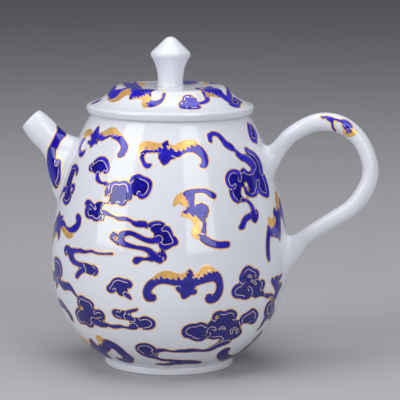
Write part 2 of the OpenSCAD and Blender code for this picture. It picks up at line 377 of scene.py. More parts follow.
s_in = bore_start + (tip - lip - bore_start) * u[::-1]
rows = np.vstack([tube(spout_path, s_out, -swell, angle),
                  tube(spout_path, s_lip, SPOUT_WALL / 2 * (1 - np.cos(arc)), angle),
                  tube(spout_path, s_in, SPOUT_WALL, angle)])
end = (len(rows) - 1) * cols
make_mesh("porcelain_spout", rows.reshape(-1, 3),
          np.vstack([grid_faces(len(rows), cols), np.stack([end + k, end + n, n, k], -1)]),
          "pot", white, node="spout", sharp=50)

# ---- handle -----------------------------------------------------------------
# Tall loop pulled from one strap of clay, a little wider than it is thick,
# luted to the shoulder and to the belly. The roots are smoothed into the body
# with slip, and the lower one is drawn out long.

# Each row: share of the drop, share of the reach, lean of the path (degrees),
# thickness and width (mm).
HANDLE_TOP, HANDLE_LOW, HANDLE_REACH, HANDLE_SWELL = 77.8, 40.5, 34.6, 1.8
handle_rows = np.array([
    [0.03, -0.1, 21, 11.2, 9.8], [0, -0.01, 24, 11.2, 9.8], [-0.09, 0.085, 47, 6.6, 6.8],
    [-0.245, 0.235, 41, 6.0, 6.8], [-0.357, 0.445, 22, 6.4, 6.8], [-0.383, 0.625, 0, 6.8, 6.8],
    [-0.338, 0.81, -32, 6.4, 6.8], [-0.2, 0.975, -54, 5.9, 6.8], [-0.005, 1.07, -76, 5.9, 6.8],
    [0.142, 1.05, -95, 6.2, 6.8], [0.3, 0.96, -117, 6.3, 6.8], [0.466, 0.79, -138, 6.3, 6.8],
    [0.603, 0.545, -148, 6.0, 6.8], [0.713, 0.34, -146, 6.0, 6.8], [0.815, 0.18, -138, 6.7, 7.0],
    [0.92, 0.06, -174, 12.1, 8.8], [1, -0.045, -180, 19.5, 10.8], [1, -0.12, -180, 19.5, 10.8]])
upper_x, lower_x = body_radius(HANDLE_TOP), body_radius(HANDLE_LOW)
wall_x = upper_x + (lower_x - upper_x) * np.clip(handle_rows[:, 0], 0, 1)
handle_path = np.column_stack([
    wall_x + HANDLE_REACH * handle_rows[:, 1],
    HANDLE_TOP + (HANDLE_LOW - HANDLE_TOP) * handle_rows[:, 0], handle_rows[:, 2:]])
cols = 72
k, n = np.arange(cols), (np.arange(cols) + 1) % cols
angle = k * 2 * np.pi / cols
start = place_at_depth(handle_path, -SUNK, 0, angle, np.linspace(0.05, 8, 500))
end = place_at_depth(handle_path, -SUNK, 0, angle, np.linspace(17, 9, 500))
v = np.linspace(0, 1, 230)[:, None]
s_out = start + (end - start) * (0.45 * v + 0.55 * (0.5 - 0.5 * np.cos(np.pi * v)))
swell = fillet(skin_depth(tube(handle_path, s_out, 0, angle)), HANDLE_SWELL)
rows = tube(handle_path, s_out, -swell, angle)
middles = rows[[0, -1]].mean(axis=1)
inward = (body_radius(middles[:, 2]) - SUNK) / np.hypot(middles[:, 0], middles[:, 1])
middles[:, :2] *= inward[:, None]
count, end = rows.size // 3, (len(rows) - 1) * cols
caps = np.vstack([np.stack([n, k, 0 * k + count], -1),
                  np.stack([end + k, end + n, 0 * k + count + 1], -1)])
make_mesh("porcelain_handle", np.vstack([rows.reshape(-1, 3), middles]),
          [grid_faces(len(rows), cols), caps], "pot", white, node="handle", sharp=60)

# ---- lid --------------------------------------------------------------------
# Loose lid turned from one piece: a rounded brim that sits on the body's rim, a
# sloping dome with a flat top, and a thin flange that drops into the mouth. A
# steam hole 2 mm across goes through the flat top behind the knob.

# From the middle of the underside: dome, flange, brim, dome, flat top.
lid_outline = np.array([0, RIM_Z]) + np.vstack([
    [[0, 7.2], [5, 7.2], [10.5, 7.2], [12.6, 7.2]],
    bend((16.2, 7.2), (20.5, 7.0), (22.95, 1.8), 20), [[22.95, -1], [22.95, -4.6]],
    bend((22.95, -5.5), (23.0, -6.5), (23.85, -6.5), 6),
    bend((24.4, -6.5), (25.3, -6.5), (25.35, -5.5), 6), [[25.35, -3], [25.35, -0.5]],
    bend((25.35, -0.25), (25.38, 0), (25.7, 0), 4), [[28, 0]],
    bend((29.9, 0), (30.35, 0.05), (30.5, 0.5), 5),
    bend((31.15, 1.9), (31.2, 2.9), (30.2, 3.2), 16),
    bend((30.2, 3.2), (24.237, 5.0), (21.3, 8.9), 36)[1:],
    bend((21.3, 8.9), (20.4, 9.9), (18.2, 9.9), 18)[1:],
    [[15, 9.9], [12.6, 9.9], [10.5, 9.9], [5, 9.9], [0, 9.9]]])
lid = turned("porcelain_lid", lid_outline, 256, "lid", white, node="lid")
STEAM_OUT, STEAM_R = 11.475, 1.0
drill(lid, [np.array([0, STEAM_OUT, RIM_Z])], np.array([0, 0, 1.0]), np.array([1.0, 0, 0]),
      STEAM_R, 6, 11, 32)

# ---- knob -------------------------------------------------------------------
# Solid turned bud: a waisted stem swells to a soft ridge and closes in a blunt
# cone. It is luted to the middle of the lid with a little slip.

# From the middle of the underside: slip, stem, ridge, cone, blunt end.
knob_outline = np.array([0, RIM_Z + 9.9]) + np.vstack([
    [[0, -0.5], [3, -0.5], [5.6, -0.5]], bend((5.7, 0.0), (4.8, 0.05), (4.72, 0.9), 6),
    bend((4.7, 1.0), (4.45, 6.6), (7.28, 10.85), 26)[1:],
    bend((7.32, 10.95), (7.6, 11.65), (7.15, 12.45), 10),
    np.linspace((7.15, 12.45), (2.4, 17.0), 14)[1:-1],
    bend((2.4, 17.0), (1.3, 18.1), (0, 18.1), 12)])
turned("porcelain_knob", knob_outline, 128, "lid", white, node="lid_knob", sharp=50)

# ---- cobalt and gold on the body ----------------------------------------------
# Bats, clouds and ribbons brushed over the fired glaze in a light and a dark
# cobalt enamel, then outlined, split and winged with liquid gold and fired
# again. Both lie on the glaze as thin skins that round off at their edges.

# Each motif: turn about the axis and height (mm) of its middle, then its light,
# its dark and its gold strokes. A stroke is a row of stations in tenths of a
# millimetre, each the way across and up from that middle and the brush's width.
MOTIFS = {
    "neck bat": (-46.7, 86.9, [[-5,39,11, -5,20,29, -3,3,36, -2,-14,26, -2,-29,15], [-10,6,22,
     -27,8,13, -37,13,6], [-3,-19,18, -23,-21,11, -33,-19,7], [1,-18,18, 16,-15,11, 25,-17,5],
     [4,6,20, 20,9,14, 35,9,27, 47,4,18, 58,6,8, 69,11,8, 79,20,9, 100,16,17, 121,12,21, 143,-2,21,
     162,-23,24, 159,-47,29], [-70,-10,8, -85,-23,18, -87,-41,16, -82,-57,14, -66,-67,20,
     -45,-68,18, -35,-56,10]], [], [[-94,1,11, -79,10,22, -61,13,25, -44,16,18], [35,22,8, 51,27,16,
     67,36,20, 83,37,20, 101,30,16, 118,25,7]]),
    "shoulder bat": (6.3, 84.4, [[-15,21,6, -3,24,14, 4,32,10], [2,23,18, -1,7,29, 1,-13,39,
     -1,-30,35, -4,-48,9], [-8,-27,19, -18,-26,11, -21,-16,5], [3,-27,22, 18,-26,12, 31,-27,5],
     [-2,2,20, -17,4,19, -28,3,18, -37,-1,9, -47,-2,9, -58,-3,9, -69,-3,11, -81,-8,17, -86,-20,16,
     -83,-36,13, -75,-51,13, -65,-58,15, -55,-54,10], [-77,0,13, -69,13,2], [-53,-1,11, -47,11,2],
     [-28,7,13, -33,13,2], [4,0,24, 21,-3,26, 36,-11,22, 48,-11,21, 62,-4,15, 73,1,15, 84,5,22,
     102,8,29, 121,-2,30, 139,-23,25, 144,-41,24, 141,-55,21, 133,-56,17], [22,0,20, 29,11,2],
     [46,-7,15, 50,8,2], [67,-1,11, 67,11,2], [90,9,18, 79,20,2]], [], [[-94,-11,10, -87,11,20,
     -74,20,22, -57,21,24, -40,18,22, -22,19,13], [16,14,13, 34,12,15, 51,18,22, 68,24,24, 85,28,20,
     105,29,10]]),
    "curled cloud": (-34.8, 77.8, [[-26,11,10, -8,25,12, 16,27,13, 35,16,15, 47,-1,11, 50,-15,8,
     40,-22,8, 32,-17,6], [-33,4,6, -45,-5,7, -44,-16,8, -35,-20,8], [4,-28,13, 9,-46,16, 26,-58,10,
     41,-60,6, 53,-61,15, 65,-65,5], [64,-76,8, 61,-89,11, 67,-100,6]], [[-25,-10,21, -8,-4,34,
     10,1,36, 23,-5,21, 34,-5,12, 39,-6,7], [-12,-13,23, 3,-19,21, 7,-30,13]], []),
    "round cloud": (-18.2, 69.3, [[-36,1,8, -38,14,10, -36,26,11, -28,34,11, -14,37,10, -4,34,9,
     7,39,10, 21,39,11, 32,31,10, 37,17,10, 44,1,10, 48,-11,9, 45,-20,7], [0,-35,7, 12,-41,9,
     25,-39,9, 30,-30,8], [-52,-14,7, -54,0,9, -51,12,7], [-59,-43,4, -42,-40,3, -33,-38,4]],
     [[-23,17,15, -7,20,19, 11,23,20, 23,19,13], [-23,-2,19, -4,1,33, 16,1,26], [-24,-23,19,
     -11,-23,28, 4,-16,26, 25,-15,17], [-30,-36,8, -20,-34,12]], []),
    "ringed cloud": (-6.7, 72.2, [[-37,15,12, -30,29,11, -12,36,11, 5,29,11, 22,23,12, 34,12,13,
     36,-4,10, 31,-21,10, 22,-34,11, 8,-40,12, -3,-33,12, -3,-24,6]], [[-29,-3,13, -14,1,33, 1,2,33,
     16,0,25, 14,-19,10], [-20,-15,27, -20,-24,17]], []),
    "knot and ribbon": (-31.2, 61.8, [[-52,24,8, -48,32,10, -37,35,8, -21,29,8, -7,19,7, -1,12,5],
     [-24,12,9, -27,17,8, -36,15,10, -42,8,13, -43,-2,14, -38,-15,13, -24,-22,9, -11,-19,8, 0,-26,8,
     14,-28,9, 25,-21,9, 31,-14,7, 36,-24,6], [32,6,6, 41,-3,7, 44,-13,6, 43,-24,5], [29,9,6,
     40,6,9, 52,2,13, 67,-3,10, 86,-8,6, 106,-13,13, 129,-13,14, 150,-18,9, 169,-28,15, 189,-28,22,
     205,-29,18, 216,-40,4]], [[-22,-4,14, -12,0,18, 5,1,20, 22,-2,13], [-19,-13,6, 0,-12,14,
     12,-16,11], [5,29,7, 16,29,13, 29,32,9], [15,20,18, 19,11,12]], []),
    "folded ribbon": (5.6, 55, [[-46,38,13, -31,46,10, -13,48,9, 4,43,6], [2,24,9, 15,28,16,
     28,16,11, 35,-1,9, 44,-10,15, 47,-22,17, 34,-30,10, 15,-38,16, 0,-38,16, -8,-27,10],
     [-13,-10,24, -37,-17,18, -64,-13,15, -89,-2,16, -116,7,15, -137,5,20, -155,-3,18, -152,-18,22,
     -144,-30,20, -122,-37,16, -96,-42,12, -70,-45,13, -48,-52,18, -35,-64,22, -22,-77,24,
     -8,-86,20], [-181,-1,16, -191,-13,12, -177,-27,7, -162,-32,12], [-38,-80,20, -59,-82,7,
     -78,-83,14, -94,-89,25], [-11,-63,11, 2,-62,12, 10,-72,10, 8,-82,7]], [[-19,33,16, -13,18,26,
     -6,0,38, 13,1,32, 25,-10,26, 15,-20,20], [-35,22,7, -24,20,14]], []),
    "diving bat": (23, 63.3, [[-38,66,19, -25,68,24, -12,73,18, 1,76,14, 14,76,14, 27,74,15,
     40,69,16, 51,61,20, 61,54,20], [-53,62,9, -44,65,13, -39,56,12, -38,44,7], [-23,65,28,
     -23,47,25, -24,29,25, -23,12,29, -16,-3,29], [-49,-1,10, -36,1,18, -25,1,21], [-3,9,28,
     12,17,26, 27,11,23, 34,1,13], [5,-3,31, 20,-5,23, 30,-16,9], [14,28,10, 13,21,15], [-1,-16,22,
     7,-26,12, 17,-30,8, 22,-39,12, 21,-55,13, 18,-69,18], [-5,-79,7, 7,-87,18, 20,-97,26,
     37,-108,25, 56,-116,24, 79,-121,23, 97,-121,23, 108,-121,21]], [], [[-83,27,8, -75,39,17,
     -65,50,21, -57,41,21, -47,30,14], [-59,64,6, -67,57,11], [-58,-10,4, -40,-15,6, -23,-20,9,
     -12,-31,15, -7,-46,18, -10,-61,21, -16,-72,18, -16,-82,12, -9,-92,6]]),
    "tall cloud": (-58, 69, [[-26,63,12, -7,72,13, 16,70,13, 31,60,13, 33,48,10], [19,1,9, 35,4,13,
     42,-9,11, 37,-23,10], [-36,-56,10, -14,-64,11, 11,-64,12, 27,-53,11, 33,-37,10], [-28,-19,21,
     -56,-23,17, -75,-41,12, -93,-59,14]], [[-3,52,25, -11,36,40, -14,10,42, -10,-10,46, -4,-31,47,
     0,-43,35]], []),
    "spout bat": (-62.5, 54, [[-18,42,12, -17,31,24, -7,18,41, -6,-1,44, 6,-19,32, 16,-34,24,
     16,-44,14], [26,33,11, 12,26,18], [-22,19,24, -45,13,20, -58,-6,24, -84,-19,20], [15,5,34,
     30,7,32, 44,12,22, 57,11,14, 69,5,8, 85,-1,11, 106,-2,16, 123,2,24, 141,12,27, 153,28,24,
     152,44,22, 142,51,22], [101,-6,10, 112,-16,3], [-19,-16,28, -42,-31,22, -72,-50,28,
     -103,-74,36, -134,-86,32, -156,-72,24]], [], [[41,-8,12, 68,-15,14, 90,-23,17, 109,-26,12,
     126,-21,8], [-15,-41,8, -42,-47,14, -68,-64,10]]),
    "wavy ribbon": (-40, 45, [[-80,0,12, -87,12,14, -74,21,18, -57,13,30, -44,3,34, -37,-9,28,
     -25,-19,22, -10,-24,17, 8,-27,16, 25,-28,18], [-46,12,20, -24,18,17, -4,21,12, 14,24,14,
     37,22,9, 70,29,7, 97,25,8, 130,27,8, 159,30,9], [82,-22,6, 96,-31,10, 97,-46,10, 86,-55,6],
     [34,-41,20, 17,-52,18, 3,-64,18, -5,-72,17]], [[37,-32,24, 54,-36,29, 68,-39,28]], []),
    "tailed cloud": (-60.8, 37.3, [[-44,23,10, -32,37,12, -9,42,13, 19,40,13, 41,27,13, 47,6,12,
     40,-11,10], [-17,-45,24, -34,-61,18, -39,-71,8], [6,-33,20, 33,-43,24, 55,-47,32, 78,-44,28,
     101,-43,25, 118,-51,16, 131,-63,12, 143,-72,6]], [[-21,11,32, 2,13,38, 21,1,38, -2,-15,36,
     -32,-27,34, -70,-35,30, -108,-37,22, -146,-27,12]], []),
    "loose ribbon": (-62, 23, [[-155,-24,15, -107,-13,24, -65,2,30, -22,17,33, 15,12,32, 40,-4,30,
     57,-21,28, 49,-36,22]], [], []),
    "cloud bank": (-37.6, 25.1, [[-31,21,9, -25,41,10, -5,54,11, 15,48,10, 32,45,10, 48,34,11,
     45,23,8], [-54,-57,10, -62,-37,11, -58,-17,11, -42,-2,10, -29,4,8], [-48,-59,8, -31,-57,9,
     -18,-57,9, -4,-63,11, 11,-61,11, 22,-51,10], [51,2,8, 62,9,9, 78,11,10, 89,0,11, 85,-16,11,
     68,-21,7], [36,-35,28, 63,-44,25, 84,-44,18, 99,-41,9, 112,-47,13, 131,-45,15, 151,-41,11,
     168,-44,7, 187,-44,13, 204,-36,26], [235,-4,7, 252,2,10, 269,-1,11, 280,-13,13, 278,-27,11,
     262,-40,9, 238,-45,7], [206,-7,17, 188,1,23], [163,22,6, 152,23,7, 139,19,9, 136,8,10,
     143,-2,8, 157,-7,7], [190,18,12, 209,26,10, 224,30,9, 233,35,4]], [[-3,30,31, 12,25,33,
     25,25,21], [-41,-30,34, -21,-24,40, 2,-19,38, 22,-14,38, 33,-24,30, 9,-41,19], [41,-3,23,
     59,-5,17, 69,-3,10], [211,-22,30, 225,-20,34, 243,-22,32, 258,-23,23], [189,2,25, 174,7,29,
     162,5,23]], []),
    "small cloud": (-15, 35.7, [[-19,-6,7, -27,-13,11, -40,-12,13, -46,-3,12, -35,10,9, -25,25,8,
     -10,34,9, 5,34,9, 20,30,9, 34,28,10, 44,18,11, 41,8,8], [21,-18,12, 33,-26,15, 42,-35,6]],
     [[-21,3,12, -8,8,24, 8,6,38, 9,-7,34, 18,-12,20]], []),
    "belly bat": (17.2, 38.8, [[-123,-58,27, -136,-57,29, -143,-41,27, -138,-23,28, -126,-8,28,
     -110,2,26, -90,6,23, -70,3,19, -49,0,22, -30,0,28], [-99,12,16, -82,22,2], [-78,8,12,
     -66,16,2], [-58,6,14, -45,15,2], [-35,8,18, -25,24,3], [10,42,6, 9,30,22, 6,10,40, 3,-11,52,
     -2,-31,44, -8,-46,28, -12,-56,12], [-21,-31,20, -32,-23,14, -29,-18,6], [11,-35,24, 26,-38,16,
     31,-33,8], [24,-3,28, 49,3,24, 67,9,28, 84,16,36, 102,16,36, 114,5,30, 121,-12,26, 121,-34,26,
     113,-54,28, 97,-68,28, 82,-66,28, 81,-58,22], [34,8,20, 42,27,2], [54,14,16, 62,27,2],
     [67,22,14, 73,36,2], [87,26,20, 83,40,2]], [], [[-113,18,7, -93,27,14, -70,30,18, -48,25,16,
     -25,22,12, -8,28,8], [31,22,10, 52,28,18, 64,44,22, 79,45,18, 96,40,8]]),
    "long cloud bank": (37, 20.5, [[-66,12,6, -76,23,9, -91,26,11, -103,21,11, -119,21,12,
     -135,16,14, -144,3,14, -143,-11,12, -131,-25,14, -115,-31,12, -100,-41,10, -81,-48,11,
     -67,-45,14, -60,-36,14], [-37,37,7, -44,49,10, -37,61,13, -22,67,12, -6,63,11, 6,64,12,
     20,68,12, 38,62,11, 48,49,13, 45,36,12], [-44,-27,7, -52,-10,9, -48,2,10, -35,3,8, -26,-5,5],
     [-41,-38,10, -21,-45,10, -1,-44,11, 15,-55,9], [48,-29,6, 45,-15,8, 56,-10,7, 73,-19,5,
     74,-31,7], [-8,-2,5, 1,3,5, 12,-6,4], [85,4,8, 77,21,12, 82,37,13, 98,45,11, 114,52,12,
     130,58,11, 149,47,11, 160,31,16, 159,17,17, 149,4,18, 130,3,10]], [[-120,-5,22, -107,-5,27,
     -92,-6,30, -77,-6,30, -65,-7,22], [-91,9,11, -80,8,10], [-97,-24,11, -83,-28,11], [-11,45,18,
     2,40,18, 16,45,19, 27,46,10], [-45,23,22, -26,26,25, -6,26,29, 20,23,26, 48,15,22, 71,7,14],
     [-40,8,10, -21,2,23, 0,0,33, 26,-3,35, 54,-7,18, 80,-23,17], [-32,-17,14, -10,-23,26,
     12,-31,36, 40,-35,48, 68,-39,40, 86,-36,21], [30,-60,34, 44,-55,37], [21,-71,24, 10,-78,21,
     -3,-88,18, -17,-94,12], [101,28,15, 120,27,24, 136,33,24], [93,16,11, 111,13,11]], []),
    "curled foot cloud": (-4.8, 12, [[-35,-5,6, -32,14,9, -18,27,11, 5,31,12, 22,23,12, 34,7,12],
     [-30,-10,12, -17,-27,14, 1,-40,15, 19,-45,16], [32,-8,21, 52,1,18, 70,2,13, 87,-2,9, 105,-5,11,
     123,-3,15, 145,-3,18, 168,-1,18, 190,-4,15, 212,-8,13, 236,-5,17, 258,7,18, 280,18,20,
     302,23,21, 320,28,14], [20,-40,23, 32,-51,16, 49,-62,16, 70,-65,16, 91,-67,16, 111,-77,27,
     136,-84,33, 158,-87,35, 177,-91,26], [23,-101,12, 41,-101,20, 63,-100,22, 86,-92,21,
     109,-88,30]], [[-16,4,29, 2,0,35, 17,-11,30, 27,-20,23]], []),
    "foot ribbon": (64.1, 8.5, [[-88,25,15, -105,25,30, -102,9,42, -72,-24,34, -16,-54,44, 0,-44,17,
     22,-34,23, 36,-16,24, 38,9,25, 87,12,59, 79,41,67, 71,67,33, 75,78,20]], [], []),
    "low curl": (69.8, 23.2, [[-8,42,16, -25,31,18, -26,13,17, -12,-8,18], [19,33,16, 44,7,18,
     62,-17,18, 52,-36,18], [7,-20,28, -6,-35,24, -6,-50,18, -12,-63,14, -23,-73,8]], [[1,24,36,
     12,2,48, 18,-17,36]], []),
    "twin clouds": (51.7, 36, [[-43,10,8, -52,17,10, -56,29,11, -50,42,11, -40,55,12, -26,62,11,
     -11,60,10, 3,51,10, 19,45,11, 29,34,14, 28,24,12, 20,18,8], [-20,30,4, -12,32,4, -6,26,4],
     [-4,12,4, 9,7,5, 19,-2,5], [-55,3,11, -71,0,13, -84,-12,14, -83,-28,13, -70,-39,11, -51,-42,11,
     -30,-49,12, -11,-45,15, -3,-33,15, -9,-19,12, -18,-11,6], [51,5,7, 64,-4,14, 64,-15,17,
     56,-25,14], [81,-54,11, 103,-61,17, 122,-60,10, 143,-68,8, 169,-76,22, 175,-67,30, 179,-53,42,
     196,-43,30, 219,-40,16], [157,-27,36, 169,-42,28], [124,-5,19, 135,-19,15, 155,-15,39,
     172,-9,20, 193,-6,16, 216,-1,8]], [[-27,44,13, -12,42,14, 3,36,12], [-33,28,9, -20,28,19,
     -5,26,19], [-16,11,17, 1,-2,26, 22,-18,41, 26,-35,35, 47,-40,20, 67,-49,10], [15,9,14,
     29,-4,22], [-64,-12,14, -61,-26,14], [-47,-10,23, -41,-24,21, -27,-26,11], [-34,0,13,
     -20,0,14], [42,-6,16, 48,-33,17]], []),
    "cloud tower": (53.4, 73.1, [[-107,154,13, -103,172,16, -85,181,13, -67,174,15, -56,158,18,
     -46,138,23, -29,125,25, -15,113,10, -5,104,9], [-4,95,20, 12,82,24, 32,75,28, 50,62,33,
     63,45,31], [49,107,19, 67,99,14, 92,85,17, 110,62,21, 114,39,22, 110,17,21], [-9,30,9, 4,36,12,
     16,26,12, 34,21,9, 53,29,16, 60,49,18], [121,-3,18, 126,-26,21, 127,-52,22, 120,-70,17,
     91,-64,13, 71,-51,15, 62,-29,14, 71,-14,13], [-26,2,10, -22,15,14, -27,29,15, -41,36,11,
     -60,34,10, -75,23,11, -83,7,12, -81,-10,11, -74,-20,10, -61,-22,9, -53,-14,7], [-76,-36,13,
     -75,-50,13, -67,-65,13, -53,-76,8], [-8,-29,10, -5,-44,14, 6,-54,12, 23,-60,10, 45,-55,14,
     52,-43,14], [-33,-70,12, -12,-74,8, 1,-85,11, 9,-96,15, 14,-111,16, 13,-126,27, 16,-141,30,
     19,-152,9], [-9,-132,20, -27,-138,20, -39,-149,21, -48,-163,21, -58,-167,14], [29,-115,8,
     35,-125,10, 33,-137,10, 27,-147,6]], [[59,81,23, 80,69,36, 85,50,41, 75,29,35], [-1,13,20,
     17,3,27, 38,-1,30, 70,-1,57, 32,-19,35, 30,-35,26], [98,-4,35, 96,-22,39, 96,-41,36,
     107,-57,18], [-52,15,22, -63,0,20, -42,-8,21, -23,-9,24], [-44,-26,26, -49,-42,26, -47,-56,20,
     -37,-66,16]], []),
    "neck cloud": (76.7, 88.2, [[0,32,18, -16,14,18, -28,-9,17, -26,-25,16, -4,-31,18, -2,-39,8],
     [26,27,12, 37,3,14, 23,-19,14]], [[15,16,24, 0,0,34, -2,-16,36, 2,-24,18]], []),
    "handle bat": (73.5, 56.3, [[100,69,10, 97,56,30, 102,40,46, 105,25,53, 99,15,32], [15,46,10,
     10,32,24, 18,20,40], [51,29,36, 43,16,53, 35,2,57, 26,-15,57, 13,-28,63, -1,-35,44],
     [26,-30,50, 28,-49,32, 30,-71,10], [13,-20,34, -24,-26,27, -47,-28,21, -52,-16,25, -47,-4,7],
     [-39,-31,33, -31,-46,8], [-54,-25,27, -66,-49,23, -72,-71,23, -75,-92,22, -74,-111,22,
     -71,-127,15], [124,16,24, 118,5,16, 118,-14,16, 156,-40,16, 147,-53,18, 138,-67,10]], [],
     [[71,91,24, 64,80,38, 56,66,34, 49,52,26, 41,39,14], [-46,20,9, -44,10,23, -35,3,23, -20,2,22,
     -6,9,14]]),
    "foot bat": (-44, 8.5, [[0,57,16, -4,37,36, -15,14,55], [-49,15,14, -39,-3,59, -17,-16,79,
     -13,-36,65, -4,-43,18], [83,71,17, 72,45,38, 18,5,38], [78,68,21, 93,61,42, 111,53,48,
     122,36,46, 125,17,44, 127,-5,48, 123,-25,32, 94,-49,36, 73,-50,30, 66,-38,16]], [],
     [[-79,59,16, -69,41,28, -42,32,20], [62,89,10, 66,80,29, 63,65,42, 67,55,29]]),
}


# A node with no paint near it counts as BARE mm from a stroke; real distances
# are worked out up to NEAR mm from a stroke's edge.
BARE, NEAR = 9.0, 0.9


def brush(fields, across, up, strokes):
    """Lays light, dark and gold strokes into three fields, each the distance in
    mm from a node to the nearest stroke's edge, negative within it: the length
    left of the way to the nearest point of a smooth line, less the brush's half
    width there."""
    for field, rows in zip(fields, strokes):
        for row in rows:
            line = np.array(row, float).reshape(-1, 3) / 10
            line = along(line, np.linspace(0, len(line) - 1, 5 * len(line) - 4))
            line[:, 2] /= 2
            reach = line[:, 2].max() + NEAR
            low, high = line[:, :2].min(axis=0) - reach, line[:, :2].max(axis=0) + reach
            near = np.flatnonzero((across > low[0]) & (across < high[0])
                                  & (up > low[1]) & (up < high[1]))
            a, step = line[:-1, :, None], np.diff(line, axis=0)[:, :, None]
            x, y = across.flat[near] - a[:, 0], up.flat[near] - a[:, 1]
            along_step = x * step[:, 0] + y * step[:, 1]
            t = np.clip(along_step / (step[:, 0] ** 2 + step[:, 1] ** 2 + 1e-9), 0, 1)
            gap = np.hypot(x - t * step[:, 0], y - t * step[:, 1]) - a[:, 2] - t * step[:, 2]
            field.flat[near] = np.minimum(field.flat[near], gap.min(axis=0))


# How the corners of a grid cell that lie inside make its polygons. Corners 0-3
# go anticlockwise, and 4-7 are the places where the edge is crossed below,
# right, above and left; the key adds up 1, 2, 4 and 8 for the inside corners.
CELL_CUTS = {1: [(0, 4, 7)], 2: [(1, 5, 4)], 3: [(0, 1, 5, 7)], 4: [(2, 6, 5)],
             5: [(0, 4, 7), (2, 6, 5)], 6: [(1, 2, 6, 4)], 7: [(0, 1, 2, 6, 7)],
             8: [(3, 7, 6)], 9: [(0, 4, 6, 3)], 10: [(1, 5, 4), (3, 7, 6)],
             11: [(0, 1, 5, 6, 3)], 12: [(2, 3, 7, 5)], 13: [(0, 4, 5, 2, 3)],
             14: [(1, 2, 3, 7, 4)], 15: [(0, 1, 2, 3)]}


def eased(t):
    """Zero up to t = 0, one from t = 1, and 3t^2 - 2t^3 between."""
    t = np.clip(t, 0, 1)
    return t ** 2 * (3 - 2 * t)


def right(field):
    """The next column round, without the last row."""
    return np.roll(field, -1, axis=1)[:-1]


# How far a skin's underside lies in its ground, and its edge in its base (mm).
SKIN_SUNK, EDGE_SUNK = 0.05, 0.006


def skin(name, ground, out, depth, base, rise, soft, marks, *rest):
    """A thin closed skin over the part of a ring-shaped grid where depth (mm, from
    the painted edge inwards) is above zero. Its top stands at base plus a rise
    that eases in over the first soft mm. Marks are carried as point attributes."""
    rows, cols = depth.shape
    depth = depth.copy()
    depth[[0, -1]] = -BARE
    inside = depth > 0
    index = np.arange(rows * cols).reshape(rows, cols)
    low = (ground + out * (base - EDGE_SUNK)[..., None]).reshape(-1, 3)
    top = (ground + out * (base + rise * eased(depth / soft))[..., None])[inside]
    points, sources = [top, (ground - SKIN_SUNK * out)[inside]], [index[inside]] * 2
    slots = np.full((2, rows, cols), -1)
    slots[0][inside] = np.arange(len(top))
    slots[1][inside] = np.arange(len(top)) + len(top)
    crossing, count = [], 2 * len(top)
    for ahead in (np.roll(index, -1, axis=1), np.vstack([index[1:], index[-1:]])):
        cut = np.flatnonzero((inside != inside.flat[ahead]).ravel())
        other = ahead.ravel()[cut]
        a, b = depth.flat[cut], depth.flat[other]
        t = np.clip(a / (a - b), 0.02, 0.98)[:, None]
        points.append(low[cut] * (1 - t) + low[other] * t)
        sources.append(np.where(inside.flat[cut], cut, other))
        place = np.full(rows * cols, -1)
        place[cut] = count + np.arange(len(cut))
        crossing.append(place.reshape(rows, cols))
        count += len(cut)
    beside, above = crossing
    code = inside[:-1] + 2 * right(inside) + 4 * right(np.roll(inside, -1, axis=0)) + 8 * inside[1:]
    faces = []
    for node, way in zip(slots, (1, -1)):
        corners = [node[:-1], right(node), right(np.roll(node, -1, axis=0)), node[1:],
                   beside[:-1], right(above), beside[1:], above[:-1]]
        for key, shapes in CELL_CUTS.items():
            for shape in shapes:
                faces.append(np.stack([corners[c][code == key] for c in shape[::way]], -1))
    piece = make_mesh(name, np.vstack(points), [f for f in faces if len(f)], *rest)
    sources = np.concatenate(sources)
    for mark, values in marks.items():
        holder = piece.data.attributes.new(mark, "FLOAT", "POINT")
        holder.data.foreach_set("value", values.ravel()[sources].astype(np.float32))
    return piece


def mark(tree, name):
    """The value of a mark that the skin carries at each point."""
    return add(tree, "ShaderNodeAttribute", attribute_name=name).outputs["Fac"]


def cobalt_enamel():
    """Cobalt enamel: light where it is thin and dark in the flooded middles, with
    painted shade that darkens it low on the pot, a darker rim where the
    brush left its edge, and streaks from the hairs."""
    material, tree, shader = new_material("cobalt enamel", {"IOR": 1.6})
    place = here(tree)
    wash = reckon(tree, "ADD", noise(tree, place, 260.0, 3.0, 0.6), noise(tree, place, 1100.0, 2.0))
    thin = spread(tree, wash, 0.75, 1.25)
    light = mixed(tree, thin, (0.012, 0.007, 0.44, 1), (0.060, 0.044, 0.95, 1))
    deep = mixed(tree, thin, (0.002, 0.0006, 0.14, 1), (0.014, 0.005, 0.52, 1))
    flood = spread(tree, mark(tree, "depth"), 0.55, 1.5, 0.0, 0.65)
    colour = mixed(tree, reckon(tree, "MAXIMUM", mark(tree, "tone"), flood), light, deep)
    # painted shade: the enamel is mixed darker towards the bottom of the pot
    low_shade = spread(tree, height(tree, place), 0.085, 0.02, 0.0, 0.8)
    colour = mixed(tree, low_shade, colour, (0.003, 0.0015, 0.13, 1))
    rim = spread(tree, mark(tree, "edge"), 0.15, 0.5, 0.75, 0.0)
    colour = mixed(tree, rim, colour, (0.002, 0.001, 0.07, 1))
    glaze = glazed(tree, colour, 0.2, 0.0, 0.07, 0.12)
    feed(tree, shader, {"Base Color": glaze["Colour"], "Roughness": glaze["Roughness"],
                        "Normal": glaze["Normal"]})
    return material


